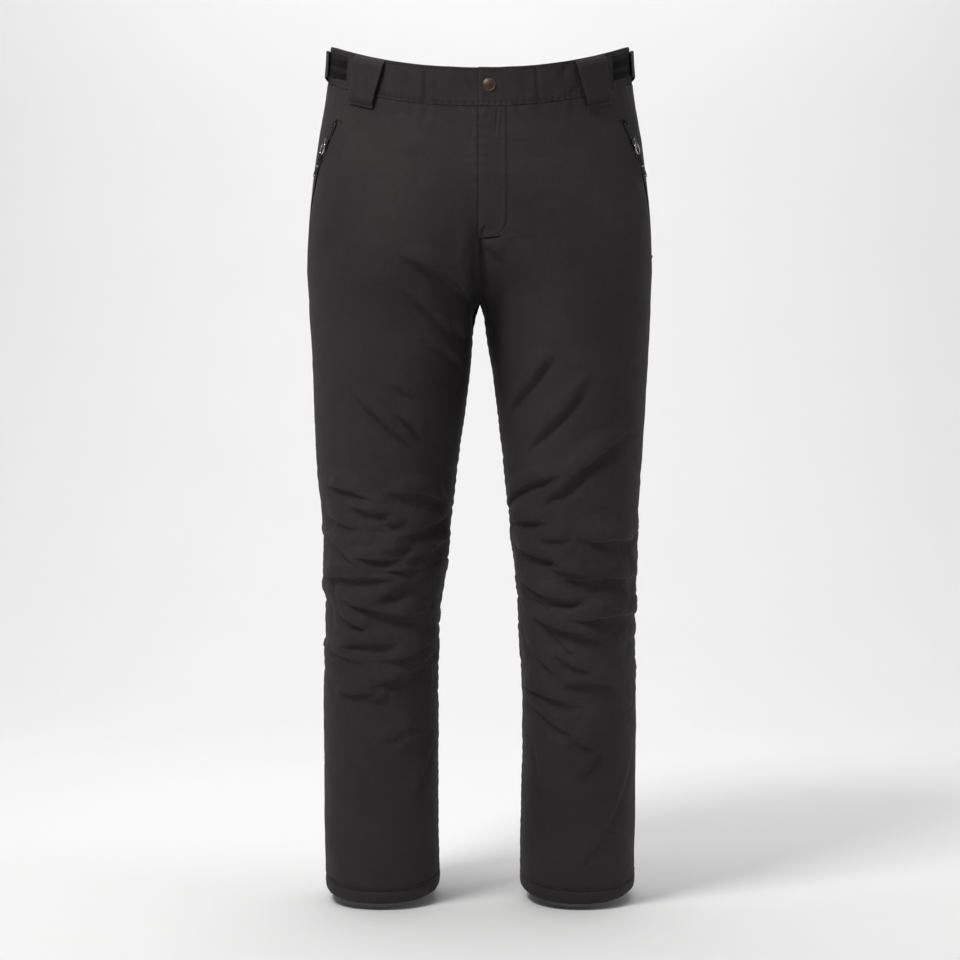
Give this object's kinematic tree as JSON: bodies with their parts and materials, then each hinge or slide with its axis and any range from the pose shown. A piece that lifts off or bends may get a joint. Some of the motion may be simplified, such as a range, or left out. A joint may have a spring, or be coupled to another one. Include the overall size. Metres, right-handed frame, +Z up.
{
  "type": "ski pants",
  "caption": "Insulated ski pants with a snapped waistband, fly flap, zipped side pockets, waist adjusters, belt loops and inner snow gaiters.",
  "frame": {"origin": "centre of the waist opening, level with its edge at the sides", "axes": "+Z up, -Y out of the front, +X towards the wearer's left"},
  "size_m": [0.4154, 0.2922, 1.0285],
  "materials": {
    "shell_fabric": "matt woven shell with a fine grain",
    "waistband_fabric": "matt woven shell, lightly gathered",
    "belt_loop_fabric": "matt woven shell, folded double",
    "strap_fabric": "matt woven shell, folded double",
    "lining_fabric": "smooth taffeta over insulation",
    "loop_pile": "brushed loop pile",
    "hook_plastic": "fine moulded hooks",
    "pocketing": "plain knit",
    "zip_tape": "woven tape",
    "zip_teeth": "moulded coil",
    "slider_black": "glossy lacquer",
    "bright_wire": "polished wire",
    "pull_cord": "cord with a moulded end",
    "bronze": "antique bronze, satin",
    "bright_steel": "plain steel",
    "elastic": "ribbed elastic",
    "gaiter_fabric": "coated taffeta"
  },
  "bodies": {
    "garment": {"back_panel_left": "shell_fabric", "back_panel_right": "shell_fabric", "belt_loop_back_left": "belt_loop_fabric", "belt_loop_back_middle": "belt_loop_fabric", "belt_loop_back_right": "belt_loop_fabric", "belt_loop_front_left": "belt_loop_fabric", "belt_loop_front_right": "belt_loop_fabric", "fly_facing_right": "shell_fabric", "fly_shield": "pocketing", "fly_zip_tape_left": "zip_tape", "fly_zip_tape_right": "zip_tape", "fly_zip_teeth": "zip_teeth", "front_panel_left": "shell_fabric", "front_panel_right": "shell_fabric", "gaiter_elastic_left": "elastic", "gaiter_elastic_right": "elastic", "gaiter_hook_left": "bright_steel", "gaiter_hook_right": "bright_steel", "gaiter_left": "gaiter_fabric", "gaiter_right": "gaiter_fabric", "hem_left": "shell_fabric", "hem_right": "shell_fabric", "insulated_lining_left": "lining_fabric", "insulated_lining_right": "lining_fabric", "loop_patch_left": "loop_pile", "loop_patch_right": "loop_pile", "pocket_bag_left": "pocketing", "pocket_bag_right": "pocketing", "pocket_zip_tape_left": "zip_tape", "pocket_zip_tape_right": "zip_tape", "pocket_zip_teeth_left": "zip_teeth", "pocket_zip_teeth_right": "zip_teeth", "side_panel_left": "shell_fabric", "side_panel_right": "shell_fabric", "snap_rivet": "bronze", "snap_stud": "bright_steel", "waist_elastic": "elastic", "waistband_back": "waistband_fabric", "waistband_facing": "lining_fabric", "waistband_front_left": "waistband_fabric", "waistband_front_right": "waistband_fabric", "waistband_underlap": "waistband_fabric"},
    "front_closure": {"waistband_tab": "waistband_fabric", "fly_placket": "shell_fabric", "snap_cap": "bronze", "snap_socket": "bright_steel"},
    "fly_slider": {"fly_zip_slider": "slider_black", "fly_zip_pull": "slider_black"},
    "adjuster_left": {"adjuster_strap_left": "strap_fabric", "hook_pad_left": "hook_plastic"},
    "pocket_slider_left": {"pocket_slider_left": "slider_black"},
    "pocket_ring_left": {"pocket_ring_left": "bright_wire"},
    "pocket_pull_left": {"pocket_pull_left": "pull_cord"},
    "adjuster_right": {"adjuster_strap_right": "strap_fabric", "hook_pad_right": "hook_plastic"},
    "pocket_slider_right": {"pocket_slider_right": "slider_black"},
    "pocket_ring_right": {"pocket_ring_right": "bright_wire"},
    "pocket_pull_right": {"pocket_pull_right": "pull_cord"}
  },
  "joints": [
    {"name": "front_closure_hinge", "type": "hinge", "parent": "garment", "child": "front_closure", "pos_m": [0.03862, -0.13049, -0.13648], "axis": [0.0018, 0.059, 0.9983], "range_deg": [0, 100]},
    {"name": "fly_zip_travel", "type": "slide", "parent": "garment", "child": "fly_slider", "axis": [0.0085, -0.0202, -0.9998], "range_m": [0, 0.084]},
    {"name": "adjuster_strap_left_hinge", "type": "hinge", "parent": "garment", "child": "adjuster_left", "pos_m": [0.13909, 0.08747, -0.01844], "axis": [0, 0, 1], "range_deg": [0, 65]},
    {"name": "adjuster_strap_right_hinge", "type": "hinge", "parent": "garment", "child": "adjuster_right", "pos_m": [-0.13909, 0.08747, -0.01844], "axis": [0, 0, -1], "range_deg": [0, 65]},
    {"name": "pocket_zip_left_travel", "type": "hinge", "parent": "garment", "child": "pocket_slider_left", "pos_m": [-0.26307, 0.10268, -0.22748], "axis": [0.2261, 0.8874, 0.4017], "range_deg": [0, 15.63]},
    {"name": "pocket_ring_left_swing", "type": "hinge", "parent": "pocket_slider_left", "child": "pocket_ring_left", "pos_m": [0.18394, -0.05771, -0.12478], "axis": [-0.2261, -0.8874, -0.4017], "range_deg": [0, 120]},
    {"name": "pocket_pull_left_swing", "type": "hinge", "parent": "pocket_ring_left", "child": "pocket_pull_left", "pos_m": [0.18817, -0.05346, -0.13654], "axis": [-0.2261, -0.8874, -0.4017], "range_deg": [0, 60]},
    {"name": "pocket_zip_right_travel", "type": "hinge", "parent": "garment", "child": "pocket_slider_right", "pos_m": [0.26307, 0.10268, -0.22748], "axis": [0.2261, -0.8874, -0.4017], "range_deg": [0, 15.63]},
    {"name": "pocket_ring_right_swing", "type": "hinge", "parent": "pocket_slider_right", "child": "pocket_ring_right", "pos_m": [-0.18394, -0.05771, -0.12478], "axis": [-0.2261, 0.8874, 0.4017], "range_deg": [0, 120]},
    {"name": "pocket_pull_right_swing", "type": "hinge", "parent": "pocket_ring_right", "child": "pocket_pull_right", "pos_m": [-0.18817, -0.05346, -0.13654], "axis": [-0.2261, 0.8874, 0.4017], "range_deg": [0, 60]}
  ]
}
